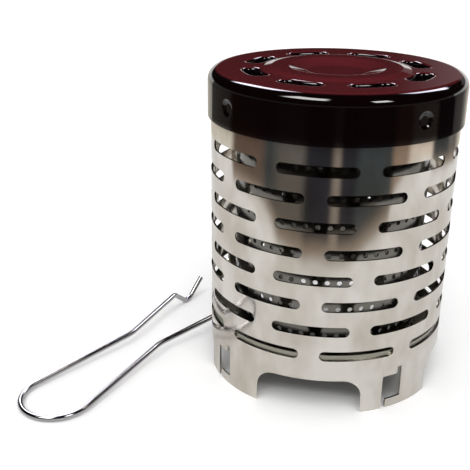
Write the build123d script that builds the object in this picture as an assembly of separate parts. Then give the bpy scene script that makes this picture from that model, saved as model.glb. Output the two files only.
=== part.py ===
from build123d import *
import os
from math import acos, asin, atan2, cos, degrees, hypot, pi, radians, sin, sqrt

# Tent heater that stands on a camping stove: a slotted outer tube, a radiant inner tube between
# two rings, a pressed lid held by four dents, and a loose wire handle that lies beside it.
# Millimetres. The tube's axis is Z and its feet stand at Z = 0. Angles round the tube start at
# -Y, in front, and grow towards +X.

# Outer tube, thin stainless sheet
tube_radius = 38.0
tube_wall = 0.6
tube_height = 95.1

# Slots of the outer tube, each row turned half a step from the next
slot_bridge = 6.27  # sheet between two slots of a row, measured round the tube
slot_height = 3.2
lowest_slot_height = 19.7
slot_top_margin = 18.7  # from the middle of the highest row to the tube's upper edge
slots_per_row = 8
slot_rows = 8

# Arches between the feet, and in each foot a hooked notch for a stove's support arm
foot_count = 4
foot_width = 26.66  # measured round the tube
arch_height = 11.4
arch_corner_radius = 5.7
notch_window_width = 7.0
notch_window_top = 11.2
notch_slit_width = 1.6
notch_slit_rise = 2.3
notch_mouth_width = 1.5
notch_shelf_height = 3.0
notch_corner_radius = 0.4

# Inner tube, and the two rings that hold it in the middle
tube_spacing = 8.0
inner_tube_wall = 0.5
ring_height = 15.0
ring_sheet = 0.6
ring_outer_collar = 4.2
ring_inner_collar = 2.2
ring_bend_radius = 0.4
ring_clearance = 0.05

# Lid, enamelled sheet: a dish, the plateau round it, a step down, the vents and the shoulder
cap_clearance = 0.2
cap_wall = 0.8
cap_skirt = 14.0
cap_shoulder_radius = 3.5
cap_seat_clearance = 0.02
plateau_rise = 0.6
plateau_width = 4.9
plateau_slope = 2.6
plateau_bend_radius = 1.6
dish_slope = 5.7
dish_depth = 1.5
dish_bend_radius = 4.0

# Vents in the lid, their edges turned down
vent_count = 8
vent_inset = 12.8  # from the skirt to the middle of the vents
vent_bridge = 7.98
vent_width = 4.6
vent_lip_depth = 1.4
vent_edge_radius = 1.2
vent_step_gap = 0.5
vent_turn_degrees = 6.5

# Round dents in the lid's skirt, pressed through holes in the tube
dent_count = 4
dent_drop = 7.9
dent_width = 5.2
dent_depth = 0.7
dent_clearance = 0.15

# Handle, one bent wire that lies on its nose and its two hooks
wire_radius = 0.9
wire_end_radius = 0.3
loop_radius = 11.3
knee_reach = 52.9
knee_half_width = 6.3
knee_bend_radius = 16.0
leg_reach = 83.1
leg_half_width = 11.5
hook_drop = 5.3
hook_drop_run = 6.3
hook_elbow_rise = 0.5
hook_elbow_run = 3.0
hook_tip_rise = 5.2
hook_tip_run = 7.1
hook_bend_radius = 2.4
handle_heading_degrees = 67.5
handle_tube_gap = 0.7
leg_end_lead = 3.1  # from the legs' ends to where the near leg passes the tube

# One overrun serves every cut, one bite every join
overrun = 1.0
bite = 0.2

# Places worked out from the sizes above
tube_bore_radius = tube_radius - tube_wall
slot_half_turn = pi / slots_per_row - slot_bridge / (2 * tube_radius)
slot_length = 2 * tube_radius * sin(slot_half_turn)
slot_row_pitch = (tube_height - slot_top_margin - lowest_slot_height) / (slot_rows - 1)
arch_half_turn = pi / foot_count - foot_width / (2 * tube_radius)
arch_width = 2 * tube_radius * sin(arch_half_turn)
notch_slit_top = notch_window_top + notch_slit_rise
inner_tube_radius = tube_radius - tube_spacing
inner_tube_bore_radius = inner_tube_radius - inner_tube_wall
inner_tube_foot = ring_height + ring_sheet + ring_bend_radius
inner_tube_top = tube_height - ring_sheet - ring_bend_radius
cap_bore_radius = tube_radius + cap_clearance
cap_radius = cap_bore_radius + cap_wall
shoulder_bend_radius = cap_shoulder_radius - cap_wall
shoulder_reach = tube_radius - (cap_radius - cap_shoulder_radius)
shoulder_drop = cap_shoulder_radius - sqrt(shoulder_bend_radius ** 2 - shoulder_reach ** 2)
cap_top = tube_height + cap_seat_clearance + shoulder_drop
vent_ring_radius = cap_radius - vent_inset
vent_length = 2 * pi * vent_ring_radius / vent_count - vent_bridge
vent_lip_foot = cap_top - cap_wall - vent_lip_depth
plateau_foot_radius = vent_ring_radius - vent_width / 2 - vent_edge_radius - vent_step_gap
plateau_radius = plateau_foot_radius - plateau_slope
dish_radius = plateau_radius - plateau_width
dish_floor_radius = dish_radius - dish_slope
dent_height = cap_top - dent_drop
dent_ball_radius = ((dent_width / 2) ** 2 + dent_depth ** 2) / (2 * dent_depth)
dent_ball_place = cap_radius - dent_depth + dent_ball_radius
handle_setback = leg_reach + leg_end_lead
handle_side = tube_radius + handle_tube_gap + wire_radius + leg_half_width


def outward(angle_degrees, distance, height):
    """A place at this angle and distance from the tube's axis."""
    angle = radians(angle_degrees)
    return Vector(sin(angle) * distance, -cos(angle) * distance, height)


def through_wall(profile, angle_degrees, width):
    """The profile, X to the right and Y up as seen from outside, run through the outer wall."""
    start = sqrt(tube_bore_radius ** 2 - (width / 2) ** 2) - overrun
    angle = radians(angle_degrees)
    plane = Plane(
        origin=outward(angle_degrees, start, 0),
        x_dir=(cos(angle), sin(angle), 0),
        z_dir=(sin(angle), -cos(angle), 0),
    )
    return extrude(plane * profile, amount=tube_radius - start + overrun)


def slot_cutters():
    step = 360 / slots_per_row
    cutters = []
    for row in range(slot_rows):
        height = lowest_slot_height + row * slot_row_pitch
        slot = Pos(0, height) * SlotOverall(slot_length, slot_height)
        turn = step / 2 if row % 2 == 0 else 0
        for place in range(slots_per_row):
            cutters.append(through_wall(slot, turn + place * step, slot_length))
    return cutters


def arch_profile():
    block = Pos(0, (arch_height - overrun) / 2) * Rectangle(arch_width, arch_height + overrun)
    return fillet(block.vertices().group_by(Axis.Y)[-1], arch_corner_radius)


def notch_profile():
    """A window with a slit at its upper right, open to the foot's edge at its lower left."""
    slit_right = notch_slit_width / 2
    slit_left = -slit_right
    window_left = slit_right - notch_window_width
    mouth_right = window_left + notch_mouth_width
    outline = Polyline(
        (window_left, -overrun),
        (window_left, notch_window_top),
        (slit_left, notch_window_top),
        (slit_left, notch_slit_top),
        (slit_right, notch_slit_top),
        (slit_right, notch_shelf_height),
        (mouth_right, notch_shelf_height),
        (mouth_right, -overrun),
        close=True,
    )
    profile = make_face(outline)
    corners = profile.vertices().filter_by(lambda corner: corner.Y > 0)
    return fillet(corners, notch_corner_radius)


def foot_cutters():
    step = 360 / foot_count
    cutters = []
    for place in range(foot_count):
        cutters.append(through_wall(arch_profile(), place * step, arch_width))
        cutters.append(through_wall(notch_profile(), (place + 1 / 2) * step, notch_window_width * 2))
    return cutters


def dent_hole_cutters():
    """Holes that clear the bumps on the lid's inside."""
    reach = dent_ball_place - tube_radius
    radius = sqrt((dent_ball_radius + cap_wall) ** 2 - reach ** 2) + dent_clearance
    hole = Pos(0, dent_height) * Circle(radius)
    step = 360 / dent_count
    return [through_wall(hole, (place + 1 / 2) * step, radius * 2) for place in range(dent_count)]


def make_outer_tube():
    blank = Cylinder(tube_radius, tube_height) - Cylinder(tube_bore_radius, tube_height)
    tube = Pos(0, 0, tube_height / 2) * blank
    return tube - (slot_cutters() + foot_cutters() + dent_hole_cutters())


def make_inner_tube():
    length = inner_tube_top - inner_tube_foot
    tube = Cylinder(inner_tube_radius, length) - Cylinder(inner_tube_bore_radius, length)
    return Pos(0, 0, inner_tube_foot + length / 2) * tube


def make_ring():
    """A flat ring with both edges turned up: one collar fits the outer tube, one the inner."""
    outer = tube_bore_radius - ring_clearance
    inner = inner_tube_bore_radius - ring_clearance - ring_sheet
    path = FilletPolyline(
        (inner, ring_sheet + ring_inner_collar),
        (inner, 0),
        (outer, 0),
        (outer, ring_sheet + ring_outer_collar),
        radius=ring_bend_radius + ring_sheet,
    )
    section = make_face(offset(path, ring_sheet, side=Side.LEFT))
    return revolve(Plane.XZ * section, axis=Axis.Z)


def make_base_ring():
    return Pos(0, 0, ring_height) * make_ring()


def make_top_ring():
    """The same pressing upside down, under the lid."""
    return Pos(0, 0, tube_height) * Rot(180, 0, 0) * make_ring()


def cap_shell():
    """The lid without holes: dish, plateau, a step down to the vents, shoulder and skirt."""
    plateau_top = cap_top + plateau_rise
    outside = FilletPolyline(
        (0, plateau_top - dish_depth),
        (dish_floor_radius, plateau_top - dish_depth),
        (dish_radius, plateau_top),
        (plateau_radius, plateau_top),
        (plateau_foot_radius, cap_top),
        (cap_radius, cap_top),
        (cap_radius, cap_top - cap_skirt),
        radius=[
            dish_bend_radius,
            plateau_bend_radius,
            plateau_bend_radius,
            plateau_bend_radius,
            cap_shoulder_radius,
        ],
    )
    section = make_face(offset(outside, cap_wall, side=Side.RIGHT))
    return revolve(Plane.XZ * section, axis=Axis.Z)


def vent_profile(width):
    sweep_degrees = degrees((vent_length - vent_width) / vent_ring_radius)
    middle = CenterArc((0, 0), vent_ring_radius, -sweep_degrees / 2, sweep_degrees)
    return SlotArc(middle, width)


def cut_vents(cap):
    """Each vent gets a lip that hangs below the sheet, then its hole and a rounded upper edge."""
    step = 360 / vent_count
    turns = [Rot(0, 0, vent_turn_degrees + (place + 1 / 2) * step) for place in range(vent_count)]
    lip = extrude(vent_profile(vent_width + 2 * cap_wall), amount=vent_lip_depth + bite)
    hole = extrude(vent_profile(vent_width), amount=vent_lip_depth + cap_wall + 2 * overrun)
    cap = cap + [Pos(0, 0, vent_lip_foot) * turn * lip for turn in turns]
    cap = cap - [Pos(0, 0, vent_lip_foot - overrun) * turn * hole for turn in turns]
    top_edges = cap.edges().filter_by(lambda edge: abs(edge.center().Z - cap_top) < bite / 2)
    rims = top_edges.filter_by(lambda edge: edge.length < 2 * vent_length)
    return fillet(rims, vent_edge_radius)


def press_dents(cap):
    """A round dent outside, and inside it a bump of the same sheet."""
    step = 360 / dent_count
    places = [outward((place + 1 / 2) * step, dent_ball_place, dent_height) for place in range(dent_count)]
    core = Pos(0, 0, dent_height) * Cylinder(cap_bore_radius + bite, 2 * cap_skirt)
    bumps = [core & (Pos(*place) * Sphere(dent_ball_radius + cap_wall)) for place in places]
    balls = [Pos(*place) * Sphere(dent_ball_radius) for place in places]
    return cap + bumps - balls


def make_cap():
    return press_dents(cut_vents(cap_shell()))


def rounded_run(points, radii):
    """Straight lines through the points, the corners between them rounded."""
    edges = []
    start = points[0]
    for before, corner, after, radius in zip(points, points[1:], points[2:], radii):
        back = (before - corner).normalized()
        ahead = (after - corner).normalized()
        half_angle = radians(back.get_angle(ahead)) / 2
        setback = radius * cos(half_angle) / sin(half_angle)
        lift = radius / sin(half_angle) - radius
        bend_start = corner + back * setback
        bend_end = corner + ahead * setback
        bend_middle = corner + (back + ahead).normalized() * lift
        edges.append(Edge.make_line(start, bend_start))
        edges.append(Edge.make_three_point_arc(bend_start, bend_middle, bend_end))
        start = bend_end
    edges.append(Edge.make_line(start, points[-1]))
    return edges


def leg_points(side):
    """One leg from its hook's tip to the loop, X along the handle and Y across it."""
    end = Vector(leg_reach, side * leg_half_width, 0)
    dip = end + Vector(hook_drop_run, 0, -hook_drop)
    elbow = dip + Vector(hook_elbow_run, 0, hook_elbow_rise)
    tip = elbow + Vector(hook_tip_run, 0, hook_tip_rise)
    knee = Vector(knee_reach, side * knee_half_width, 0)
    reach = knee_reach - loop_radius
    turn = atan2(knee_half_width, reach) + acos(loop_radius / hypot(reach, knee_half_width))
    loop_start = Vector(loop_radius + loop_radius * cos(turn), side * loop_radius * sin(turn), 0)
    return [tip, elbow, dip, end, knee, loop_start]


def handle_tilt_degrees():
    """The tilt at which the nose and the dips of both hooks lie on the ground."""
    down = atan2(hook_drop, hook_drop_run)
    up = atan2(hook_elbow_rise, hook_elbow_run)
    half_angle = (pi - down - up) / 2
    middle = up + half_angle
    distance = hook_bend_radius / sin(half_angle)
    bend_x = leg_reach + hook_drop_run + distance * cos(middle)
    bend_z = -hook_drop + distance * sin(middle)
    return degrees(asin(hook_bend_radius / hypot(bend_x, bend_z)) - atan2(bend_z, bend_x))


def make_handle():
    radii = [hook_bend_radius, hook_bend_radius, hook_bend_radius, knee_bend_radius]
    left = leg_points(1)
    right = leg_points(-1)
    loop = Edge.make_three_point_arc(left[-1], Vector(0, 0, 0), right[-1])
    path = Wire(rounded_run(left, radii) + [loop] + rounded_run(right[::-1], radii[::-1]))
    tip_plane = Plane(origin=path @ 0, z_dir=path % 0)
    wire = sweep(tip_plane * Circle(wire_radius), path=path)
    ends = wire.faces().filter_by(GeomType.PLANE).edges()
    wire = fillet(ends, wire_end_radius)
    lean = Pos(-handle_setback, handle_side, wire_radius) * Rot(0, -handle_tilt_degrees(), 0)
    return Rot(0, 0, handle_heading_degrees) * lean * wire


if __name__ == "__main__":
    os.makedirs("parts", exist_ok=True)
    export_step(make_outer_tube(), "parts/outer_tube.step")
    export_step(make_inner_tube(), "parts/inner_tube.step")
    export_step(make_base_ring(), "parts/base_ring.step")
    export_step(make_top_ring(), "parts/top_ring.step")
    export_step(make_cap(), "parts/cap.step")
    export_step(make_handle(), "parts/handle.step")
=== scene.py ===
import bmesh
import bpy
import numpy as np
from math import acos, asin, atan2, cos, hypot, pi, radians, sin, sqrt
from mathutils import Matrix, Vector


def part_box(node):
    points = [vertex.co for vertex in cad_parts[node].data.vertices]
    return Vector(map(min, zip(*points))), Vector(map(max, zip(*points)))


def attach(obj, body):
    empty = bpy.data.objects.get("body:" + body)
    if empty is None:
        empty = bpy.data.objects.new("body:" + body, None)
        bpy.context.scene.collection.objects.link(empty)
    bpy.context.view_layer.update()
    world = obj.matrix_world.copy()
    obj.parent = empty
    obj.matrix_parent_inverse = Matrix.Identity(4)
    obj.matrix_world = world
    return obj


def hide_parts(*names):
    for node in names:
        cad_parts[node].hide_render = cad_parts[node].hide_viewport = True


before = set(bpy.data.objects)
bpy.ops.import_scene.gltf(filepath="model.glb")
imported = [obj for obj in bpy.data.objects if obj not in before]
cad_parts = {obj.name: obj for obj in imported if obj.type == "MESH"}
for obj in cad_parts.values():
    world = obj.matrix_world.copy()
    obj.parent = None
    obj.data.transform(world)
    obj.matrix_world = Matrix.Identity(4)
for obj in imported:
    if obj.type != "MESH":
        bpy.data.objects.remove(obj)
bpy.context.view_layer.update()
mm = 0.001
tiny = 0.001 * mm
weldGap = 0.01 * mm
print("frame loaded")

# Helpers for node trees


def addNode(tree, kind, inputs=None, **settings):
    made = tree.nodes.new(kind)
    for key, value in settings.items():
        setattr(made, key, value)
    for key, value in (inputs or {}).items():
        socket = made.inputs[key]
        if isinstance(value, bpy.types.NodeSocket):
            tree.links.new(value, socket)
        else:
            socket.default_value = value
    return made


def math(tree, operation, first, second=0.0):
    return addNode(tree, "ShaderNodeMath", {0: first, 1: second}, operation=operation).outputs[0]


def vector(tree, x=0.0, y=0.0, z=0.0):
    return addNode(tree, "ShaderNodeCombineXYZ", {"X": x, "Y": y, "Z": z}).outputs[0]


def softStep(tree, value, start, end, low=0.0, high=1.0):
    return addNode(tree, "ShaderNodeMapRange", {
        "Value": value, "From Min": start, "From Max": end, "To Min": low, "To Max": high},
        interpolation_type="SMOOTHSTEP").outputs[0]


def mixColour(tree, factor, first, second):
    # the Mix node's ends go by number, because each kind of value has its own pair
    return addNode(tree, "ShaderNodeMix", {
        "Factor": factor, 6: first, 7: second}, data_type="RGBA").outputs[2]


def mixVector(tree, factor, first, second):
    return addNode(tree, "ShaderNodeMix", {
        "Factor": factor, 4: first, 5: second}, data_type="VECTOR").outputs[1]


def newGeometryTree(name, inputs):
    # inputs: name -> (socket type, default)
    tree = bpy.data.node_groups.new(name, "GeometryNodeTree")
    tree.interface.new_socket("Geometry", in_out="INPUT", socket_type="NodeSocketGeometry")
    for label, (kind, value) in inputs.items():
        socket = tree.interface.new_socket(label, in_out="INPUT", socket_type=kind)
        if value is not None:
            socket.default_value = value
    tree.interface.new_socket("Geometry", in_out="OUTPUT", socket_type="NodeSocketGeometry")
    return tree, addNode(tree, "NodeGroupInput").outputs


def rowsOfPoints(tree, perRow, rows):
    # the points, then the row of each and its place in that row
    count = math(tree, "MULTIPLY", perRow, rows)
    points = addNode(tree, "GeometryNodeMeshLine", {"Count": count, "Offset": (0, 0, 0)}).outputs[0]
    index = addNode(tree, "GeometryNodeInputIndex").outputs[0]
    row = math(tree, "FLOOR", math(tree, "DIVIDE", index, perRow))
    return points, row, math(tree, "MODULO", index, perRow)


def copiesAt(tree, points, shape, turn=0.0):
    copies = addNode(tree, "GeometryNodeInstanceOnPoints", {
        "Points": points, "Instance": shape, "Rotation": vector(tree, z=turn)}).outputs[0]
    return addNode(tree, "GeometryNodeRealizeInstances", {"Geometry": copies}).outputs[0]


def copiesRound(tree, shape, count, firstTurn=0.0):
    # the shape turned about the tube's axis in even steps
    points = addNode(tree, "GeometryNodeMeshLine", {"Count": count, "Offset": (0, 0, 0)}).outputs[0]
    index = addNode(tree, "GeometryNodeInputIndex").outputs[0]
    step = math(tree, "DIVIDE", 2 * pi, count)
    turn = math(tree, "ADD", firstTurn, math(tree, "MULTIPLY", index, step))
    return copiesAt(tree, points, shape, turn)


def weld(tree, geometry, distance):
    return addNode(tree, "GeometryNodeMergeByDistance", {
        "Geometry": geometry, "Distance": distance}).outputs[0]


def endTree(tree, geometry, material):
    realized = addNode(tree, "GeometryNodeRealizeInstances", {"Geometry": geometry}).outputs[0]
    painted = addNode(tree, "GeometryNodeSetMaterial", {"Geometry": realized, "Material": material})
    tree.links.new(painted.outputs[0], addNode(tree, "NodeGroupOutput").inputs[0])


# Helpers for outlines and meshes


def growMesh(name, tree, settings, baseMesh=None):
    # runs the tree on the base mesh and keeps the result as a plain mesh object
    piece = bpy.data.objects.new(name, baseMesh or bpy.data.meshes.new(name))
    bpy.context.scene.collection.objects.link(piece)
    modifier = piece.modifiers.new("grow", "NODES")
    modifier.node_group = tree
    for item in tree.interface.items_tree:
        if item.in_out == "INPUT" and item.name in settings:
            modifier[item.identifier] = settings[item.name]
    bpy.context.view_layer.update()
    depsgraph = bpy.context.evaluated_depsgraph_get()
    grown = bpy.data.meshes.new_from_object(piece.evaluated_get(depsgraph), depsgraph=depsgraph)
    piece.modifiers.clear()
    piece.data = grown
    return piece


def sceneObject(name, mesh):
    made = bpy.data.objects.new(name, mesh)
    bpy.context.scene.collection.objects.link(made)
    return made


def roundedOutline(points, radii, steps=8, closed=False, support=0.0):
    # corners become arcs; support adds a point just before and after each arc
    points = [Vector(point) for point in points]
    count = len(points)
    outline = []
    for index, corner in enumerate(points):
        radius = radii[index]
        atEnd = not closed and index in (0, count - 1)
        if atEnd or radius <= 0:
            outline.append(corner)
            continue
        back = (points[index - 1] - corner).normalized()
        ahead = (points[(index + 1) % count] - corner).normalized()
        halfAngle = back.angle(ahead) / 2
        turn = pi - 2 * halfAngle
        setback = radius / np.tan(halfAngle)
        centre = corner + (back + ahead).normalized() * (radius / sin(halfAngle))
        start = corner + back * setback
        end = corner + ahead * setback
        if support:
            outline.append(start + back * support)
        for step in range(steps + 1):
            share = step / steps
            fromStart = (start - centre) * (sin((1 - share) * turn) / sin(turn))
            fromEnd = (end - centre) * (sin(share * turn) / sin(turn))
            outline.append(centre + (fromStart + fromEnd))
        if support:
            outline.append(end + ahead * support)
    return outline


def meshFrom(name, vertices, faces, edges=()):
    mesh = bpy.data.meshes.new(name)
    mesh.from_pydata([tuple(vertex) for vertex in vertices], list(edges), faces)
    mesh.update()
    return mesh


def turnFacesOut(mesh):
    bm = bmesh.new()
    bm.from_mesh(mesh)
    bmesh.ops.recalc_face_normals(bm, faces=bm.faces)
    bm.to_mesh(mesh)
    bm.free()


def smoothByAngle(mesh, limit):
    mesh.shade_smooth()
    mesh.set_sharp_from_angle(angle=limit)


# Finishes

sheetLook = {
    "cloudSize": 60.0,
    "cloudDetail": 5.0,
    "cloudRoughness": 0.6,
    "waveSize": 28.0,
    "waveDetail": 1.0,
    "waveDepth": 0.4 * mm,
    "blotchSize": 75.0,
    "blotchDetail": 3.0,
    "blotchRoughness": 0.55,
    "blotchStretch": (1, 1, 0.6),  # taller than wide
    "blotchRange": (0.37, 0.63),
}


def sheetWear():
    # pressed sheet: cloudy roughness, faint waves in its height, and blotches to tint it by
    tree = bpy.data.node_groups.new("sheetWear", "ShaderNodeTree")
    inputs = {"Roughness": 0.1, "Spread": 0.05, "Cloud Size": sheetLook["cloudSize"], "Wave Height": 0.0}
    for label, value in inputs.items():
        socket = tree.interface.new_socket(label, in_out="INPUT", socket_type="NodeSocketFloat")
        socket.default_value = value
    given = addNode(tree, "NodeGroupInput").outputs
    place = addNode(tree, "ShaderNodeTexCoord").outputs["Object"]
    cloud = addNode(tree, "ShaderNodeTexNoise", {
        "Vector": place, "Scale": given["Cloud Size"], "Detail": sheetLook["cloudDetail"],
        "Roughness": sheetLook["cloudRoughness"]}).outputs[0]
    swing = math(tree, "MULTIPLY", math(tree, "SUBTRACT", cloud, 0.5), given["Spread"])
    wave = addNode(tree, "ShaderNodeTexNoise", {
        "Vector": place, "Scale": sheetLook["waveSize"], "Detail": sheetLook["waveDetail"]}).outputs[0]
    upright = addNode(tree, "ShaderNodeMapping", {"Vector": place, "Scale": sheetLook["blotchStretch"]})
    blotch = addNode(tree, "ShaderNodeTexNoise", {
        "Vector": upright.outputs[0], "Scale": sheetLook["blotchSize"], "Detail": sheetLook["blotchDetail"],
        "Roughness": sheetLook["blotchRoughness"]}).outputs[0]
    low, high = sheetLook["blotchRange"]
    results = {
        "Roughness": math(tree, "ADD", given["Roughness"], swing),
        "Height": math(tree, "MULTIPLY", wave, given["Wave Height"]),
        "Mottle": addNode(tree, "ShaderNodeMapRange", {
            "Value": blotch, "From Min": low, "From Max": high}).outputs[0],
    }
    for label in results:
        tree.interface.new_socket(label, in_out="OUTPUT", socket_type="NodeSocketFloat")
    ending = addNode(tree, "NodeGroupOutput")
    for label, result in results.items():
        tree.links.new(result, ending.inputs[label])
    return tree


wearGroup = sheetWear()


def newMaterial(name, metallic=0.0, roughness=0.2):
    material = bpy.data.materials.new(name)
    material.use_nodes = True
    shader = material.node_tree.nodes["Principled BSDF"]
    shader.inputs["Metallic"].default_value = metallic
    shader.inputs["Roughness"].default_value = roughness
    return material, material.node_tree, shader


def addWear(tree, shader, roughness, spread, waveHeight=0.0):
    wear = addNode(tree, "ShaderNodeGroup", {
        "Roughness": roughness, "Spread": spread, "Wave Height": waveHeight}, node_tree=wearGroup).outputs
    tree.links.new(wear["Roughness"], shader.inputs["Roughness"])
    return wear


def metalSheet(name, colour, roughness, spread, waveHeight=0.0, warmer=None):
    material, tree, shader = newMaterial(name, metallic=1.0)
    shader.inputs["Base Color"].default_value = (*colour, 1)
    wear = addWear(tree, shader, roughness, spread, waveHeight)
    if warmer:
        tinted = mixColour(tree, wear["Mottle"], (*warmer, 1), (*colour, 1))
        tree.links.new(tinted, shader.inputs["Base Color"])
    if waveHeight:
        bump = addNode(tree, "ShaderNodeBump", {
            "Height": wear["Height"], "Distance": sheetLook["waveDepth"], "Strength": 1.0})
        tree.links.new(bump.outputs[0], shader.inputs["Normal"])
    return material


tubeSteel = metalSheet(
    "tubeSteel", colour=(0.8, 0.765, 0.71), warmer=(0.6, 0.55, 0.48),
    roughness=0.1, spread=0.05, waveHeight=0.5)
# bright steel given a dark colour: painted shade for the inside between the tubes
innerSteelPaintedShade = metalSheet("innerSteelPaintedShade", colour=(0.2, 0.19, 0.17), roughness=0.16, spread=0.08)
ringSteel = metalSheet("ringSteel", colour=(0.36, 0.35, 0.29), roughness=0.3, spread=0.1)
handleChrome = metalSheet("handleChrome", colour=(0.5, 0.49, 0.5), roughness=0.14, spread=0.06)

enamel = {
    "maroon": (0.12, 0.016, 0.02, 1),
    # painted shade: the nearly black of the shoulder, the skirt and the vents' walls
    "paintedShadeColour": (0.003, 0.001, 0.0012, 1),
    "maroonHeight": 97.58 * mm,
    "paintedShadeHeight": 97.15 * mm,
    "dishReach": 20 * mm,  # the dish stays maroon, down to dishLow
    "dishLow": 96.5 * mm,
    "roughness": 0.05,
    "spread": 0.03,
    "coat": 0.3,
    "coatRoughness": 0.04,
}


def capEnamelAndShade():
    # maroon on top; from the shoulder down it goes nearly black, which is painted shade for the weaker light
    # and darker reflections on the sides
    material, tree, shader = newMaterial("capEnamelAndShade")
    place = addNode(tree, "ShaderNodeTexCoord").outputs["Object"]
    flat = addNode(tree, "ShaderNodeSeparateXYZ", {"Vector": place}).outputs
    # painted shade by height: nearly black low down, full maroon at the top
    high = softStep(tree, flat["Z"], enamel["paintedShadeHeight"], enamel["maroonHeight"])
    outwards = vector(tree, flat["X"], flat["Y"])
    distance = addNode(tree, "ShaderNodeVectorMath", {0: outwards}, operation="LENGTH").outputs["Value"]
    inDish = math(tree, "LESS_THAN", distance, enamel["dishReach"])
    aboveSheet = math(tree, "GREATER_THAN", flat["Z"], enamel["dishLow"])
    share = math(tree, "MAXIMUM", high, math(tree, "MULTIPLY", inDish, aboveSheet))
    tree.links.new(mixColour(tree, share, enamel["paintedShadeColour"], enamel["maroon"]), shader.inputs["Base Color"])
    addWear(tree, shader, enamel["roughness"], enamel["spread"])
    shader.inputs["Coat Weight"].default_value = enamel["coat"]
    shader.inputs["Coat Roughness"].default_value = enamel["coatRoughness"]
    return material


lidEnamelAndShade = capEnamelAndShade()
print("finishes made")

# Outer tube

tube = {
    "radius": 38 * mm,
    "wall": 0.6 * mm,
    "height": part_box("outer_tube")[1].z,
    "sides": 288,
    "slotLength": 23.2 * mm,
    "slotHeight": 3.2 * mm,
    "slotEndSteps": 7,
    "slotsPerRow": 8,
    "rows": 8,
    "lowestSlot": 19.7 * mm,
    "rowPitch": 8.1 * mm,
    "feet": 4,
    "archWidth": 32 * mm,
    "archHeight": 11.4 * mm,
    "archCorner": 5.7 * mm,
    "archSteps": 12,
    "windowWidth": 7 * mm,
    "windowTop": 11.2 * mm,
    "slitWidth": 1.6 * mm,
    "slitTop": 13.5 * mm,
    "mouthWidth": 1.5 * mm,
    "shelf": 3 * mm,
    "notchCorner": 0.4 * mm,
    "notchSteps": 4,
    "dentHole": 2.54 * mm,
    "dentHeight": 89.7 * mm,
    "dentSides": 24,
    "overrun": 1 * mm,  # how far cutters run past the wall
}


def wallPrism(outline, turn, halfWidth):
    # a closed prism of the outline, X to the right and Y up, that runs out through the wall
    bore = tube["radius"] - tube["wall"]
    start = sqrt(bore ** 2 - halfWidth ** 2) - tube["overrun"]
    end = tube["radius"] + tube["overrun"]
    count = len(outline)
    rotation = Matrix.Rotation(turn, 4, "Z")
    vertices = [rotation @ Vector((x, -depth, y)) for depth in (start, end) for x, y in outline]
    sides = [(i, (i + 1) % count, (i + 1) % count + count, i + count) for i in range(count)]
    return vertices, sides + [tuple(reversed(range(count))), tuple(range(count, 2 * count))]


def footCutter():
    # an arch, the hooked notch of the next foot, and the hole for one of the lid's dents
    halfArch = tube["archWidth"] / 2
    low = -tube["overrun"]
    arch = roundedOutline(
        [(-halfArch, low), (halfArch, low), (halfArch, tube["archHeight"]), (-halfArch, tube["archHeight"])],
        [0, 0, tube["archCorner"], tube["archCorner"]], steps=tube["archSteps"], closed=True)
    slit = tube["slitWidth"] / 2
    left = slit - tube["windowWidth"]
    mouth = left + tube["mouthWidth"]
    notch = roundedOutline(
        [(left, low), (mouth, low), (mouth, tube["shelf"]), (slit, tube["shelf"]), (slit, tube["slitTop"]),
         (-slit, tube["slitTop"]), (-slit, tube["windowTop"]), (left, tube["windowTop"])],
        [0, 0] + [tube["notchCorner"]] * 6, steps=tube["notchSteps"], closed=True)
    hole = [(tube["dentHole"] * cos(angle), tube["dentHeight"] + tube["dentHole"] * sin(angle))
            for angle in np.linspace(0, 2 * pi, tube["dentSides"], endpoint=False)]
    shapes = ((arch, 0, halfArch), (notch, pi / 4, tube["windowWidth"]), (hole, pi / 4, tube["dentHole"]))
    vertices, faces = [], []
    for outline, turn, halfWidth in shapes:
        newVertices, newFaces = wallPrism(outline, turn, halfWidth)
        faces += [tuple(i + len(vertices) for i in face) for face in newFaces]
        vertices += newVertices
    mesh = meshFrom("footCutter", vertices, faces)
    turnFacesOut(mesh)
    return sceneObject("footCutter", mesh)


def slotCutter(tree, given):
    # a rounded strip, pushed outwards until it is past the wall
    strip = addNode(tree, "GeometryNodeCurvePrimitiveQuadrilateral", {
        "Width": given["Slot Length"], "Height": given["Slot Height"]}).outputs[0]
    # just short of half the height, so that no two points of an end fall together
    endRadius = math(tree, "MULTIPLY", given["Slot Height"], 0.499)
    strip = addNode(tree, "GeometryNodeFilletCurve", {
        "Curve": strip, "Count": tube["slotEndSteps"], "Radius": endRadius,
        "Limit Radius": True}, mode="POLY")
    face = addNode(tree, "GeometryNodeFillCurve", {"Curve": strip.outputs[0]}, mode="NGONS").outputs[0]
    depth = math(tree, "MULTIPLY", given["Slot Length"], 0.25)  # more than the wall curves away by
    pushed = addNode(tree, "GeometryNodeExtrudeMesh", {
        "Mesh": face, "Offset Scale": depth, "Individual": False}).outputs["Mesh"]
    joined = addNode(tree, "GeometryNodeJoinGeometry")
    tree.links.new(pushed, joined.inputs[0])
    tree.links.new(addNode(tree, "GeometryNodeFlipFaces", {"Mesh": face}).outputs[0], joined.inputs[0])
    closed = weld(tree, joined.outputs[0], tiny)
    reach = math(tree, "ADD", math(tree, "SUBTRACT", given["Radius"], depth), tube["overrun"])
    return addNode(tree, "GeometryNodeTransform", {
        "Geometry": closed, "Translation": vector(tree, y=math(tree, "MULTIPLY", reach, -1.0)),
        "Rotation": (pi / 2, 0, 0)}).outputs[0]


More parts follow.
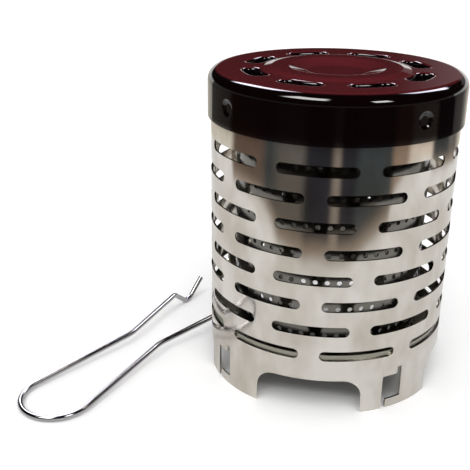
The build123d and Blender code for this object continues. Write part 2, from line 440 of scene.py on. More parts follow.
def slottedTubeTree(material):
    tree, given = newGeometryTree("slottedTube", {
        "Radius": ("NodeSocketFloat", 0.038),
        "Wall": ("NodeSocketFloat", 0.0006),
        "Height": ("NodeSocketFloat", 0.096),
        "Sides": ("NodeSocketInt", 288),
        "Slot Length": ("NodeSocketFloat", 0.0232),
        "Slot Height": ("NodeSocketFloat", 0.0032),
        "Slots Per Row": ("NodeSocketInt", 8),
        "Rows": ("NodeSocketInt", 8),
        "Lowest Slot": ("NodeSocketFloat", 0.0197),
        "Row Pitch": ("NodeSocketFloat", 0.0081),
        "Foot Cutter": ("NodeSocketObject", None),
        "Feet": ("NodeSocketInt", 4),
    })
    lift = vector(tree, z=math(tree, "MULTIPLY", given["Height"], 0.5))

    def cylinder(radius, height):
        made = addNode(tree, "GeometryNodeMeshCylinder", {
            "Vertices": given["Sides"], "Radius": radius, "Depth": height}).outputs["Mesh"]
        return addNode(tree, "GeometryNodeTransform", {"Geometry": made, "Translation": lift}).outputs[0]

    blank = cylinder(given["Radius"], given["Height"])
    bore = math(tree, "SUBTRACT", given["Radius"], given["Wall"])
    inside = cylinder(bore, math(tree, "MULTIPLY", given["Height"], 1.2))  # out past both ends
    # slots in rows, each row turned half a step from the next
    points, row, place = rowsOfPoints(tree, given["Slots Per Row"], given["Rows"])
    half = math(tree, "SUBTRACT", 0.5, math(tree, "MULTIPLY", math(tree, "MODULO", row, 2.0), 0.5))
    step = math(tree, "DIVIDE", 2 * pi, given["Slots Per Row"])
    turn = math(tree, "MULTIPLY", math(tree, "ADD", place, half), step)
    height = math(tree, "ADD", given["Lowest Slot"], math(tree, "MULTIPLY", row, given["Row Pitch"]))
    points = addNode(tree, "GeometryNodeSetPosition", {
        "Geometry": points, "Position": vector(tree, z=height)}).outputs[0]
    slots = copiesAt(tree, points, slotCutter(tree, given), turn)
    # arches, notches and dent holes
    footShape = addNode(tree, "GeometryNodeObjectInfo", {"Object": given["Foot Cutter"]}).outputs["Geometry"]
    feet = copiesRound(tree, footShape, given["Feet"])
    cut = addNode(tree, "GeometryNodeMeshBoolean", {"Mesh 1": blank}, operation="DIFFERENCE", solver="EXACT")
    for cutting in (inside, slots, feet):
        tree.links.new(cutting, cut.inputs["Mesh 2"])
    endTree(tree, cut.outputs["Mesh"], material)
    return tree


def roundNormals(mesh, radius, wall):
    # exact normals on the round faces, so that the polish runs on past every slot
    middle = radius - wall / 2
    normals = []
    for polygon in mesh.polygons:
        normal = polygon.normal
        centre = polygon.center
        distances = [hypot(mesh.vertices[i].co.x, mesh.vertices[i].co.y) for i in polygon.vertices]
        across = max(distances) - min(distances)
        facing = abs(normal.x * centre.x + normal.y * centre.y) / hypot(centre.x, centre.y)
        isRound = facing > 0.98 and across < wall / 3  # not a cut's edge
        side = 1 if distances[0] > middle else -1
        for i in polygon.vertices:
            co = mesh.vertices[i].co
            normals.append(Vector((co.x, co.y, 0)).normalized() * side if isRound else normal.copy())
    mesh.shade_smooth()
    mesh.normals_split_custom_set(normals)


def makeOuterTube():
    cutter = footCutter()
    piece = growMesh("outerTube", slottedTubeTree(tubeSteel), {
        "Radius": tube["radius"], "Wall": tube["wall"], "Height": tube["height"], "Sides": tube["sides"],
        "Slot Length": tube["slotLength"], "Slot Height": tube["slotHeight"],
        "Slots Per Row": tube["slotsPerRow"], "Rows": tube["rows"], "Lowest Slot": tube["lowestSlot"],
        "Row Pitch": tube["rowPitch"], "Foot Cutter": cutter, "Feet": tube["feet"]})
    bpy.data.objects.remove(cutter)
    roundNormals(piece.data, tube["radius"], tube["wall"])
    print("outer tube", len(piece.data.polygons), "faces")
    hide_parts("outer_tube")
    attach(piece, "heater")


makeOuterTube()

# Inner tube, perforated

inner = {
    "radius": 30 * mm,
    "wall": 0.5 * mm,
    "holesAround": 52,
    "rows": 18,
    "holeRadius": 0.8 * mm,
    "smoothAngle": radians(35),
}


def perforationCell(width, height, wall, holeRadius):
    # a flat square of sheet round one hole, 3 lengths to a side, with its outer face at Y = 0
    corners = ((-1, -1), (1, -1), (1, 1), (-1, 1))
    border = []
    for start, end in zip(corners, corners[1:] + corners[:1]):
        for share in (0, 1 / 3, 2 / 3):
            border.append((start[0] + (end[0] - start[0]) * share, start[1] + (end[1] - start[1]) * share))
    count = len(border)
    vertices = []
    for depth in (0, wall):
        vertices += [(x * width / 2, depth, z * height / 2) for x, z in border]
        for x, z in border:
            reach = hypot(x, z)
            vertices.append((x / reach * holeRadius, depth, z / reach * holeRadius))
    faces = []
    for i in range(count):
        j = (i + 1) % count
        faces.append((i, j, j + count, i + count))
        faces.append((i + 2 * count, i + 3 * count, j + 3 * count, j + 2 * count))
        faces.append((i + count, j + count, j + 3 * count, i + 3 * count))
    return sceneObject("perforationCell", meshFrom("perforationCell", vertices, faces))


def perforatedTubeTree(material):
    tree, given = newGeometryTree("perforatedTube", {
        "Cell": ("NodeSocketObject", None),
        "Radius": ("NodeSocketFloat", 0.03),
        "Holes Around": ("NodeSocketInt", 52),
        "Rows": ("NodeSocketInt", 18),
        "Cell Width": ("NodeSocketFloat", 0.0036),
        "Cell Height": ("NodeSocketFloat", 0.0044),
        "Foot": ("NodeSocketFloat", 0.016),
    })
    points, row, column = rowsOfPoints(tree, given["Holes Around"], given["Rows"])
    along = math(tree, "MULTIPLY", column, given["Cell Width"])
    rise = math(tree, "MULTIPLY", math(tree, "ADD", row, 0.5), given["Cell Height"])
    up = math(tree, "ADD", given["Foot"], rise)
    points = addNode(tree, "GeometryNodeSetPosition", {
        "Geometry": points, "Position": vector(tree, along, z=up)}).outputs[0]
    cell = addNode(tree, "GeometryNodeObjectInfo", {"Object": given["Cell"]}).outputs["Geometry"]
    sheet = copiesAt(tree, points, cell)
    # roll the flat sheet up
    position = addNode(tree, "GeometryNodeInputPosition").outputs[0]
    flat = addNode(tree, "ShaderNodeSeparateXYZ", {"Vector": position}).outputs
    turn = math(tree, "DIVIDE", flat["X"], given["Radius"])
    reach = math(tree, "SUBTRACT", given["Radius"], flat["Y"])
    ahead = math(tree, "MULTIPLY", math(tree, "MULTIPLY", reach, math(tree, "COSINE", turn)), -1.0)
    rolled = vector(tree, math(tree, "MULTIPLY", reach, math(tree, "SINE", turn)), ahead, flat["Z"])
    tubeSheet = addNode(tree, "GeometryNodeSetPosition", {"Geometry": sheet, "Position": rolled}).outputs[0]
    endTree(tree, weld(tree, tubeSheet, weldGap), material)
    return tree


def makeInnerTube():
    foot, top = (corner.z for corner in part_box("inner_tube"))
    cellWidth = 2 * pi * inner["radius"] / inner["holesAround"]
    cellHeight = (top - foot) / inner["rows"]
    cell = perforationCell(cellWidth, cellHeight, inner["wall"], inner["holeRadius"])
    piece = growMesh("innerTube", perforatedTubeTree(innerSteelPaintedShade), {
        "Cell": cell, "Radius": inner["radius"], "Holes Around": inner["holesAround"], "Rows": inner["rows"],
        "Cell Width": cellWidth, "Cell Height": cellHeight, "Foot": foot})
    bpy.data.objects.remove(cell)
    # close the sheet's two ends
    bm = bmesh.new()
    bm.from_mesh(piece.data)
    for level in (foot, top):
        atLevel = [edge for edge in bm.edges if all(abs(v.co.z - level) < weldGap for v in edge.verts)]
        bmesh.ops.bridge_loops(bm, edges=[edge for edge in atLevel if edge.is_boundary])
    bm.to_mesh(piece.data)
    bm.free()
    turnFacesOut(piece.data)
    smoothByAngle(piece.data, inner["smoothAngle"])
    print("inner tube", len(piece.data.polygons), "faces")
    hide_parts("inner_tube")
    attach(piece, "heater")


makeInnerTube()

# Lid

lid = {
    "radius": 39 * mm,
    "sheet": 0.8 * mm,
    "skirt": 14 * mm,
    "skirtRows": 14,
    "shoulder": 3.5 * mm,
    "top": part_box("cap")[0].z + 14 * mm,
    "rise": 0.6 * mm,
    "plateau": 19.6 * mm,
    "slope": 2.6 * mm,
    "plateauBend": 1.6 * mm,
    "dish": 14.7 * mm,
    "dishFloor": 9 * mm,
    "dishDepth": 1.5 * mm,
    "dishBend": 4 * mm,
    "bendSteps": 10,
    "bendSupport": 0.12 * mm,
    "vents": 8,
    "ventRing": 26.2 * mm,
    "ventLength": 12.6 * mm,
    "ventWidth": 4.6 * mm,
    "ventSteps": 10,
    "ventTurn": radians(29),
    "lipDepth": 1.4 * mm,
    "lipEdge": 1.2 * mm,
    "lipSteps": 9,
    "lipFoot": 0.2 * mm,
    "lipFillet": 0.4 * mm,
    "plateOuter": 35.5 * mm,
    "plateInner": 22.7 * mm,
    "dents": 4,
    "dentHeight": 89.7 * mm,
    "dentRadius": 2.6 * mm,
    "dentDepth": 0.7 * mm,
    "dentWallShare": 0.45,
    "dentMargin": 1 * mm,
    "dentCuts": 3,
    "sides": 240,
    "smoothAngle": radians(50),
}


def lidProfile():
    plateauTop = lid["top"] + lid["rise"]
    bend = lid["plateauBend"]
    corners = [
        ((0, plateauTop - lid["dishDepth"]), 0),
        ((lid["dishFloor"], plateauTop - lid["dishDepth"]), lid["dishBend"]),
        ((lid["dish"], plateauTop), bend),
        ((lid["plateau"], plateauTop), bend),
        ((lid["plateau"] + lid["slope"], lid["top"]), bend),
        ((lid["radius"], lid["top"]), lid["shoulder"]),
        ((lid["radius"], lid["top"] - lid["skirt"]), 0),
    ]
    points, radii = zip(*corners)
    return roundedOutline(points, radii, steps=lid["bendSteps"], support=lid["bendSupport"])


def insetProfile(outline, distance):
    # each point moved square to the outline, towards the underside
    moved = []
    last = len(outline) - 1
    for index, point in enumerate(outline):
        before = outline[max(index - 1, 0)]
        after = outline[min(index + 1, last)]
        if index in (0, last):
            run = (after - before).normalized()
            moved.append(point + Vector((run.y, -run.x)) * distance)
            continue
        first = (point - before).normalized()
        second = (after - point).normalized()
        side = (Vector((first.y, -first.x)) + Vector((second.y, -second.x))).normalized()
        share = side.dot(Vector((first.y, -first.x)))
        moved.append(point + side * distance / max(share, 0.5))  # at most twice the distance at a corner
    return moved


def spinStrip(bm, profile, sides):
    # a surface turned round the tube's axis from a run of (distance, height)
    turns = [2 * pi * i / sides for i in range(sides)]
    rings = []
    for distance, height in profile:
        if distance < tiny:
            rings.append([bm.verts.new((0, 0, height))])
        else:
            rings.append([bm.verts.new((distance * sin(a), -distance * cos(a), height)) for a in turns])
    for first, second in zip(rings, rings[1:]):
        for i in range(sides):
            j = (i + 1) % sides
            if len(first) == 1:
                bm.faces.new((first[0], second[i], second[j]))
            else:
                bm.faces.new((first[i], second[i], second[j], first[j]))


def beanOutline(halfWidth, height):
    # a slot along an arc, halfWidth either side of the vent ring: outer arc, end, inner arc, end
    ring = lid["ventRing"]
    steps = lid["ventSteps"]
    halfSweep = (lid["ventLength"] - lid["ventWidth"]) / ring / 2
    outline = []
    for side, start in ((1, 0), (-1, pi)):
        reach = ring + side * halfWidth
        for step in range(2 * steps + 1):
            angle = side * (-halfSweep + step / (2 * steps) * 2 * halfSweep)
            outline.append((reach * cos(angle), reach * sin(angle)))
        end = side * halfSweep
        endX, endY = ring * cos(end), ring * sin(end)
        for step in range(1, steps):
            angle = end + (start + step / steps * pi)
            outline.append((endX + halfWidth * cos(angle), endY + halfWidth * sin(angle)))
    return [Vector((x, y, height)) for x, y in outline]


def ventSector():
    # one vent's share of the lid's flat ring, with the vent's turned-down lip
    sides = lid["sides"] // lid["vents"]
    sweep = 2 * pi / lid["vents"]
    half = lid["ventWidth"] / 2
    edge = lid["lipEdge"]
    under = lid["top"] - lid["sheet"]
    foot = under - lid["lipDepth"]
    outer = half + lid["sheet"]
    small = lid["lipFoot"]
    lip = [(half + edge, lid["top"])]
    lip += [(half + edge - edge * sin(angle), lid["top"] - edge + edge * cos(angle))
            for angle in np.linspace(0, pi / 2, lid["lipSteps"])[1:]]
    lip += [(half, foot + small), (half + small, foot), (outer - small, foot), (outer, foot + small)]
    lip += [(outer, under - lid["lipFillet"]), (outer + lid["lipFillet"], under)]
    bm = bmesh.new()
    loops = []
    for halfWidth, height in lip:
        loops.append([bm.verts.new(point) for point in beanOutline(halfWidth, height)])
    for first, second in zip(loops, loops[1:]):
        for i in range(len(first)):
            j = (i + 1) % len(first)
            bm.faces.new((first[i], first[j], second[j], second[i]))
    for height, loop in ((lid["top"], loops[0]), (under, loops[-1])):
        ring = []
        for side, reach in ((1, lid["plateOuter"]), (-1, lid["plateInner"])):
            for step in range(sides + 1):
                angle = side * (-sweep / 2 + sweep * step / sides)
                ring.append(bm.verts.new((reach * cos(angle), reach * sin(angle), height)))
        edges = [bm.edges.new((ring[i], ring[(i + 1) % len(ring)])) for i in range(len(ring))]
        edges += [bm.edges.get((loop[i], loop[(i + 1) % len(loop)])) for i in range(len(loop))]
        bmesh.ops.triangle_fill(bm, use_beauty=True, edges=edges)
    mesh = bpy.data.meshes.new("ventSector")
    bm.to_mesh(mesh)
    bm.free()
    return sceneObject("ventSector", mesh)


def ventedLidTree(material):
    tree, given = newGeometryTree("ventedLid", {
        "Vent Sector": ("NodeSocketObject", None),
        "Vents": ("NodeSocketInt", 8),
        "First Vent": ("NodeSocketFloat", 0.0),
    })
    shape = addNode(tree, "GeometryNodeObjectInfo", {"Object": given["Vent Sector"]}).outputs["Geometry"]
    joined = addNode(tree, "GeometryNodeJoinGeometry")
    tree.links.new(copiesRound(tree, shape, given["Vents"], given["First Vent"]), joined.inputs[0])
    tree.links.new(given["Geometry"], joined.inputs[0])
    endTree(tree, weld(tree, joined.outputs[0], weldGap), material)
    return tree


def pressDents(bm):
    # round dents in the skirt, as a smooth dip towards the axis
    reach = lid["dentRadius"]
    innermost = lid["radius"] - 2 * lid["sheet"]
    step = 360 / lid["dents"]
    centres = [radians(step / 2 + step * i) for i in range(lid["dents"])]

    def toNearest(co):
        angle = atan2(co.x, -co.y)
        aside = [(angle - centre + pi) % (2 * pi) - pi for centre in centres]
        return min(hypot(off * lid["radius"], co.z - lid["dentHeight"]) for off in aside)

    near = []
    for face in bm.faces:
        middle = face.calc_center_median()
        if toNearest(middle) < reach + lid["dentMargin"] and hypot(middle.x, middle.y) > innermost:
            near.append(face)
    edges = dict.fromkeys(edge for face in near for edge in face.edges)
    bmesh.ops.subdivide_edges(bm, edges=list(edges), cuts=lid["dentCuts"], use_grid_fill=True)
    for vert in bm.verts:
        radius = hypot(vert.co.x, vert.co.y)
        if radius < innermost or abs(vert.co.z - lid["dentHeight"]) > reach:
            continue
        # back on the cylinder, then in by the depth of the dent
        skin = lid["radius"] if radius > lid["radius"] - lid["sheet"] / 2 else lid["radius"] - lid["sheet"]
        rise = min((1 - min(toNearest(vert.co) / reach, 1)) / lid["dentWallShare"], 1)
        dip = lid["dentDepth"] * rise ** 2 * (3 - 2 * rise)
        scale = (skin - dip) / radius
        vert.co.x *= scale
        vert.co.y *= scale


def levelNormals(mesh, height):
    # exact upright normals on the flat ring, so that no seam shows between the vent sectors
    normals = [corner.vector.copy() for corner in mesh.corner_normals]
    for loop in mesh.loops:
        if abs(mesh.vertices[loop.vertex_index].co.z - height) < tiny and normals[loop.index].z > 0.5:
            normals[loop.index] = Vector((0, 0, 1))
    mesh.normals_split_custom_set(normals)


def makeLid():
    outer = lidProfile()
    inset = insetProfile(outer, lid["sheet"])
    skirtInside = lid["radius"] - lid["sheet"]
    inset[-1] = Vector((skirtInside, outer[-1].y))
    top = lid["top"]
    under = top - lid["sheet"]
    # the flat ring between the step and the shoulder comes from the vent sectors
    start = lid["plateInner"]
    end = lid["plateOuter"]
    centreTop = [p for p in outer if p.x < start - tiny] + [Vector((start, top))]
    centreUnder = [p for p in inset if p.x < start - tiny] + [Vector((start, under))]
    rimTop = [p for p in outer if p.x > end + tiny]
    rimUnder = [p for p in inset if p.x > end + tiny]
    straight = lid["skirt"] - lid["shoulder"]
    shares = np.linspace(0, 1, lid["skirtRows"])[1:-1]
    levels = [top - lid["shoulder"] - straight * share for share in shares]
    rimTop[-1:-1] = [Vector((lid["radius"], z)) for z in levels]
    rimUnder[-1:-1] = [Vector((skirtInside, z)) for z in levels]
    rim = [Vector((end, top))] + rimTop + rimUnder[::-1] + [Vector((end, under))]
    bm = bmesh.new()
    for profile in (centreTop, centreUnder, rim):
        spinStrip(bm, profile, lid["sides"])
    pressDents(bm)
    shell = bpy.data.meshes.new("lidShell")
    bm.to_mesh(shell)
    bm.free()
    sector = ventSector()
    sideStep = 2 * pi / lid["sides"]
    firstVent = round(lid["ventTurn"] / sideStep) * sideStep  # sectors start where the shell's sides do
    piece = growMesh("lid", ventedLidTree(lidEnamelAndShade), {
        "Vent Sector": sector, "Vents": lid["vents"], "First Vent": firstVent}, shell)
    bpy.data.objects.remove(sector)
    turnFacesOut(piece.data)
    smoothByAngle(piece.data, lid["smoothAngle"])
    levelNormals(piece.data, lid["top"])
    print("lid", len(piece.data.polygons), "faces")
    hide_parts("cap")
    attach(piece, "heater")


makeLid()

# Handle, one bent wire

handle = {
    "wire": 0.9 * mm,
    "wireSides": 24,
    "bendSteps": 8,
    "loop": 11.3 * mm,
    "loopSteps": 49,
    "knee": 52.9 * mm,
    "kneeHalf": 6.3 * mm,
    "kneeBend": 16 * mm,
    "leg": 83.1 * mm,
    "legHalf": 11.5 * mm,
    "hookDrop": 5.3 * mm,
    "hookDropRun": 6.3 * mm,
    "elbowRise": 0.5 * mm,
    "elbowRun": 3.0 * mm,
    "tipRise": 5.2 * mm,
    "tipRun": 7.1 * mm,
    "hookBend": 2.4 * mm,
    "setback": 86.2 * mm,
    "heading": radians(67.5),
    "tubeGap": 0.7 * mm,
    "smoothAngle": radians(50),
}


def handleTilt():
    # the lean at which the nose and both hooks lie on the ground
    down = atan2(handle["hookDrop"], handle["hookDropRun"])
    up = atan2(handle["elbowRise"], handle["elbowRun"])
    halfAngle = (pi - down - up) / 2
    distance = handle["hookBend"] / sin(halfAngle)
    bendX = handle["leg"] + handle["hookDropRun"] + distance * cos(up + halfAngle)
    bendZ = -handle["hookDrop"] + distance * sin(up + halfAngle)
    return asin(handle["hookBend"] / hypot(bendX, bendZ)) - atan2(bendZ, bendX)


def handleLine():
    # the wire's corners from one hook to the other, each with the radius of its bend
    hook = handle["hookBend"]
    loopRadius = handle["loop"]
    reach = handle["knee"] - loopRadius
    turn = atan2(handle["kneeHalf"], reach) + acos(loopRadius / hypot(reach, handle["kneeHalf"]))

    def leg(side):
        end = Vector((handle["leg"], side * handle["legHalf"], 0))
        dip = end + Vector((handle["hookDropRun"], 0, -handle["hookDrop"]))
        elbow = dip + Vector((handle["elbowRun"], 0, handle["elbowRise"]))
        tip = elbow + Vector((handle["tipRun"], 0, handle["tipRise"]))
        knee = Vector((handle["knee"], side * handle["kneeHalf"], 0))
        return [(tip, 0), (elbow, hook), (dip, hook), (end, hook), (knee, handle["kneeBend"])]

    loop = []
    for angle in np.linspace(turn, 2 * pi - turn, handle["loopSteps"]):
        loop.append((Vector((loopRadius + loopRadius * cos(angle), loopRadius * sin(angle), 0)), 0))
    return leg(1) + loop + leg(-1)[::-1]


def bentWireTree(material):
    tree, given = newGeometryTree("bentWire", {
        "Wire Radius": ("NodeSocketFloat", 0.0009),
        "Bend Steps": ("NodeSocketInt", 8),
        "Wire Sides": ("NodeSocketInt", 24),
    })
    line = addNode(tree, "GeometryNodeMeshToCurve", {"Mesh": given["Geometry"]}).outputs[0]
    bend = addNode(tree, "GeometryNodeInputNamedAttribute", {
        "Name": "bendRadius"}, data_type="FLOAT").outputs[0]
    rounded = addNode(tree, "GeometryNodeFilletCurve", {
        "Curve": line, "Count": given["Bend Steps"], "Radius": bend, "Limit Radius": True},
        mode="POLY").outputs[0]
    section = addNode(tree, "GeometryNodeCurvePrimitiveCircle", {
        "Resolution": given["Wire Sides"], "Radius": given["Wire Radius"]}).outputs[0]
    wire = addNode(tree, "GeometryNodeCurveToMesh", {
        "Curve": rounded, "Profile Curve": section, "Fill Caps": True}).outputs[0]
    endTree(tree, wire, material)
    return tree


def makeHandle():
    line = handleLine()
    side = tube["radius"] + handle["tubeGap"] + handle["wire"] + handle["legHalf"]
    place = Matrix.Rotation(handle["heading"], 4, "Z")
    place = place @ Matrix.Translation((-handle["setback"], side, handle["wire"]))
    place = place @ Matrix.Rotation(-handleTilt(), 4, "Y")
    edges = [(i, i + 1) for i in range(len(line) - 1)]
    mesh = meshFrom("handleLine", [place @ point for point, bend in line], [], edges)
    bends = mesh.attributes.new("bendRadius", "FLOAT", "POINT")
    bends.data.foreach_set("value", [radius for point, radius in line])
    piece = growMesh("handleWire", bentWireTree(handleChrome), {
        "Wire Radius": handle["wire"], "Bend Steps": handle["bendSteps"],
        "Wire Sides": handle["wireSides"]}, mesh)
    smoothByAngle(piece.data, handle["smoothAngle"])
    print("handle", len(piece.data.polygons), "faces")
    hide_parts("handle")
    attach(piece, "handle")


makeHandle()

# Rings are the solids themselves


def paintNode(name, material):
    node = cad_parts[name]
    node.data.materials.clear()
    node.data.materials.append(material)


paintNode("base_ring", ringSteel)
paintNode("top_ring", ringSteel)
print("pieces done")

# Stage, light and camera

stage = {
    "floorSize": 6.0,
    "floorColour": 0.86,
    "floorRoughness": 0.8,
    "floorGloss": 0.1,
    "cameraLift": 0.33,  # extra white, for camera rays alone
    # painted shade on the floor under the tube, for camera rays alone
    "shadeStart": 22 * mm,  # half the width of the darker square under the tube
    "shadeEnd": 28 * mm,
    "shadeDepth": 0.3,
    "farthest": 400 * mm,
    "fringe": (0.3, 0.24, 0.19),
    "fringeStart": -30 * mm,  # from the floor's edge
    "fringeEnd": -6 * mm,
    "edgeStart": -8 * mm,
    "edgeEnd": 18 * mm,
    "farMiddle": radians(-3),
    "farHalf": radians(127),
    "farStart": 338 * mm,
    "farEnd": 358 * mm,
    "farLoss": 0.85,
    "skyStart": 0.08,  # sine of the elevation
    "skyEnd": 0.145,
    "skyLow": 0.9,
    "skyHigh": 0.006,
    "windowSoftness": 0.2,
    "worldLight": 0.62,
    "sunStrength": 1.3,
    "sunAngle": radians(50),
    "sunTurn": (radians(36), radians(6), 0),
}

tones = {
    "paleWall": (0.8, 0.75, 0.65),
    "creamWall": (0.85, 0.75, 0.65),
    "dimWall": (0.67, 0.63, 0.55),
    "wood": (0.33, 0.24, 0.18),
    "brown": (0.13, 0.09, 0.07),
    "grey": (0.15, 0.14, 0.13),
    "slate": (0.055, 0.065, 0.07),
    "shade": (0.027, 0.027, 0.033),
    "strip": (0.26, 0.22, 0.19),
}

# What polished metal mirrors beyond the floor's edge, band by band round the tube: where the band
# starts and ends, in degrees from the front and growing to the right, the floor's reach at both
# in mm, then the tone
surroundings = [
    (-180, -170, 320, 320, "paleWall"),
    (-150, -96, 320, 320, "dimWall"),
    (-89, -58, 260, 245, "brown"),
    (-50, -48, 230, 225, "slate"),
    (-36, -20, 188, 178, "grey"),
    (-13, 5, 172, 172, "shade"),
    (9, 12, 172, 172, "strip"),
    (15, 24, 172, 176, "shade"),
    (30, 55, 182, 220, "slate"),
    (60, 71, 262, 300, "wood"),
    (76, 98, 320, 320, "creamWall"),
    (102, 122, 290, 290, "slate"),
    (128, 140, 290, 290, "grey"),
    (160, 180, 320, 320, "paleWall"),
]

# Windows that only mirrored rays see: the angle round the tube and the elevation, half the width
# and half the height, all in degrees, then the strength and the colour
windows = [
    (-149, 45, 9, 11, 11.0, (0.9, 0.88, 1.0)),
    (151, 41, 8, 10, 9.0, (0.9, 0.88, 1.0)),
    (-30, 58, 26, 9, 11.0, (1.0, 1.0, 1.0)),
    (53, 42, 9, 6, 12.0, (1.0, 1.0, 1.0)),
    (166, 9, 14, 6, 0.15, (1.0, 0.85, 0.87)),
]


def sortRays(tree):
    # camera rays, then mirrored rays
    rays = addNode(tree, "ShaderNodeLightPath").outputs
    return rays["Is Camera Ray"], math(tree, "MAXIMUM", rays["Is Glossy Ray"], rays["Is Transmission Ray"])


def lessBy(tree, loss, share=1.0):
    return math(tree, "SUBTRACT", 1.0, math(tree, "MULTIPLY", loss, share))


def turnRound(tree, flat):
    # the angle round the tube, 0 in front and growing to the right
    return math(tree, "ARCTAN2", flat["X"], math(tree, "MULTIPLY", flat["Y"], -1.0))


def notBehind(tree, turn):
    aside = math(tree, "ABSOLUTE", math(tree, "SUBTRACT", turn, stage["farMiddle"]))
    return math(tree, "LESS_THAN", aside, stage["farHalf"])


def bandRamp(tree, turnShare, values):
    # two stops a band, at its start and its end
    ramp = addNode(tree, "ShaderNodeValToRGB", {"Fac": turnShare})
    stops = ramp.color_ramp.elements
    places = [(angle + 180) / 360 for band in surroundings for angle in band[:2]]
    while len(stops) < len(places):
        stops.new(0.5)
    for stop, place in zip(stops, places):
        stop.position = place
    for stop, value in zip(stops, values):
        stop.color = (*value, 1)
    return ramp.outputs["Color"]


def beyondTheFloor(tree, flat, distance):
    # what mirrored rays see past the floor's edge, and how far each of them is past it
    turn = turnRound(tree, flat)
    turnShare = math(tree, "ADD", math(tree, "DIVIDE", turn, 2 * pi), 0.5)
    reaches = [(reach * mm / stage["farthest"],) * 3 for band in surroundings for reach in band[2:4]]
    edge = math(tree, "MULTIPLY", bandRamp(tree, turnShare, reaches), stage["farthest"])
    past = math(tree, "SUBTRACT", distance, edge)
    tone = bandRamp(tree, turnShare, [tones[band[4]] for band in surroundings for angle in band[:2]])
    # dark bands begin with a lighter fringe
    fringed = addNode(tree, "ShaderNodeVectorMath", {
        0: tone, 1: stage["fringe"]}, operation="MAXIMUM").outputs[0]
    outside = softStep(tree, past, stage["edgeStart"], stage["edgeEnd"])
    tone = mixVector(tree, outside, fringed, tone)
    # the lid's skirt mirrors the farthest part, which is dark except behind the object
    far = softStep(tree, distance, stage["farStart"], stage["farEnd"])
    bright = lessBy(tree, math(tree, "MULTIPLY", notBehind(tree, turn), far), stage["farLoss"])
    return addNode(tree, "ShaderNodeEmission", {"Color": tone, "Strength": bright}).outputs[0], past


def makeFloor():
    half = stage["floorSize"] / 2
    corners = [(-half, -half, 0), (half, -half, 0), (half, half, 0), (-half, half, 0)]
    floor = sceneObject("floor", meshFrom("floor", corners, [(0, 1, 2, 3)]))
    material, tree, shader = newMaterial("paleFloor", roughness=stage["floorRoughness"])
    shader.inputs["Specular IOR Level"].default_value = stage["floorGloss"]
    floor.data.materials.append(material)
    cameraRay, mirrored = sortRays(tree)
    place = addNode(tree, "ShaderNodeTexCoord").outputs["Object"]
    distance = addNode(tree, "ShaderNodeVectorMath", {0: place}, operation="LENGTH").outputs["Value"]
    flat = addNode(tree, "ShaderNodeSeparateXYZ", {"Vector": place}).outputs
    # painted shade for camera rays: a darker square under the tube, with its sides at the arches and its
    # corners at the feet
    reach = math(tree, "MAXIMUM", math(tree, "ABSOLUTE", flat["X"]), math(tree, "ABSOLUTE", flat["Y"]))
    clear = softStep(tree, reach, stage["shadeStart"], stage["shadeEnd"])
    shaded = math(tree, "MULTIPLY", cameraRay, lessBy(tree, clear))
    level = math(tree, "MULTIPLY", lessBy(tree, shaded, stage["shadeDepth"]), stage["floorColour"])
    tree.links.new(vector(tree, level, level, level), shader.inputs["Base Color"])
    lift = math(tree, "MULTIPLY", math(tree, "MULTIPLY", cameraRay, clear), stage["cameraLift"])
    whiter = addNode(tree, "ShaderNodeBsdfDiffuse", {"Color": vector(tree, lift, lift, lift)}).outputs[0]
    pale = addNode(tree, "ShaderNodeAddShader", {0: shader.outputs[0], 1: whiter}).outputs[0]
    beyond, past = beyondTheFloor(tree, flat, distance)
    share = math(tree, "MULTIPLY", mirrored, softStep(tree, past, stage["fringeStart"], stage["fringeEnd"]))
    ends = addNode(tree, "ShaderNodeMixShader", {0: share, 1: pale, 2: beyond}).outputs[0]
    tree.links.new(ends, tree.nodes["Material Output"].inputs["Surface"])


def addWindow(tree, light, turn, rise, window):
    middle, lift, halfWidth, halfHeight, strength, colour = window
    aside = addNode(tree, "ShaderNodeMath", {
        0: math(tree, "SUBTRACT", turn, radians(middle)), 1: pi, 2: -pi}, operation="WRAP").outputs[0]
    above = math(tree, "SUBTRACT", rise, radians(lift))
    mask = 1.0
    for offset, half in ((aside, radians(halfWidth)), (above, radians(halfHeight))):
        outer = half * (1 + stage["windowSoftness"])
        whole = half * (1 - stage["windowSoftness"])
        mask = math(tree, "MULTIPLY", softStep(tree, math(tree, "ABSOLUTE", offset), outer, whole), mask)
    glow = tuple(strength * part for part in colour)
    glow = addNode(tree, "ShaderNodeVectorMath", {0: glow, "Scale": mask}, operation="SCALE").outputs[0]
    return addNode(tree, "ShaderNodeVectorMath", {0: light, 1: glow}, operation="ADD").outputs[0]


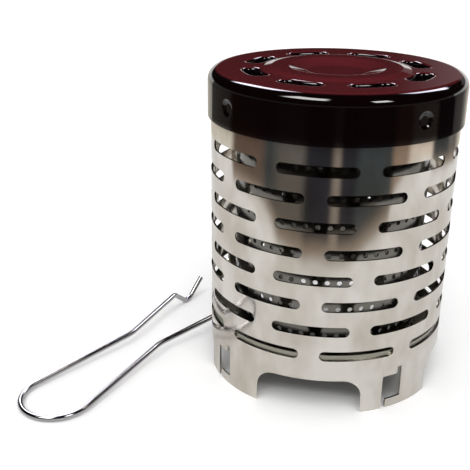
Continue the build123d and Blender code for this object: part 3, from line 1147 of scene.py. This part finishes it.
def makeWorld():
    world = bpy.data.worlds.new("softStudio")
    bpy.context.scene.world = world
    world.use_nodes = True
    tree = world.node_tree
    cameraRay, mirrored = sortRays(tree)
    towards = addNode(tree, "ShaderNodeTexCoord").outputs["Generated"]
    way = addNode(tree, "ShaderNodeSeparateXYZ", {"Vector": towards}).outputs
    turn = turnRound(tree, way)
    rise = math(tree, "ARCSINE", way["Z"])
    # mirrored rays see a light horizon, dimmer ahead, under a dark sky with windows
    low = softStep(tree, way["Z"], stage["skyStart"], stage["skyEnd"], stage["skyLow"], stage["skyHigh"])
    low = math(tree, "MULTIPLY", low, lessBy(tree, notBehind(tree, turn), stage["farLoss"]))
    mirroredLight = vector(tree, low, low, low)
    for window in windows:
        mirroredLight = addWindow(tree, mirroredLight, turn, rise, window)
    plain = math(tree, "MAXIMUM", cameraRay, stage["worldLight"])
    chosen = mixVector(tree, mirrored, vector(tree, plain, plain, plain), mirroredLight)
    tree.links.new(chosen, tree.nodes["Background"].inputs["Color"])


def makeSun():
    data = bpy.data.lights.new("softSun", "SUN")
    data.energy = stage["sunStrength"]
    data.angle = stage["sunAngle"]
    sun = sceneObject("softSun", data)
    sun.rotation_euler = stage["sunTurn"]
    sun.visible_glossy = False


camera = {
    "place": (0.02714, -0.25819, 0.14483),
    "heading": radians(11.97),
    "down": radians(23.5),
    "roll": radians(0.724),
    "focalPixels": 851.18,
    "imagePixels": 470,
    "sensor": 36.0,
    "middlePixel": (245.0, 265.0),
}


def makeCamera():
    data = bpy.data.cameras.new("camera")
    viewer = sceneObject("camera", data)
    data.sensor_width = camera["sensor"]
    data.lens = camera["focalPixels"] / camera["imagePixels"] * camera["sensor"]
    half = camera["imagePixels"] / 2
    data.shift_x = (half - camera["middlePixel"][0]) / camera["imagePixels"]
    data.shift_y = (camera["middlePixel"][1] - half) / camera["imagePixels"]
    turn = Matrix.Rotation(camera["heading"], 4, "Z") @ Matrix.Rotation(pi / 2 - camera["down"], 4, "X")
    turn = turn @ Matrix.Rotation(camera["roll"], 4, "Z")
    viewer.matrix_world = Matrix.Translation(camera["place"]) @ turn
    bpy.context.scene.camera = viewer


makeFloor()
makeWorld()
makeSun()
makeCamera()
bpy.context.scene.view_settings.view_transform = "Standard"
print("stage done")
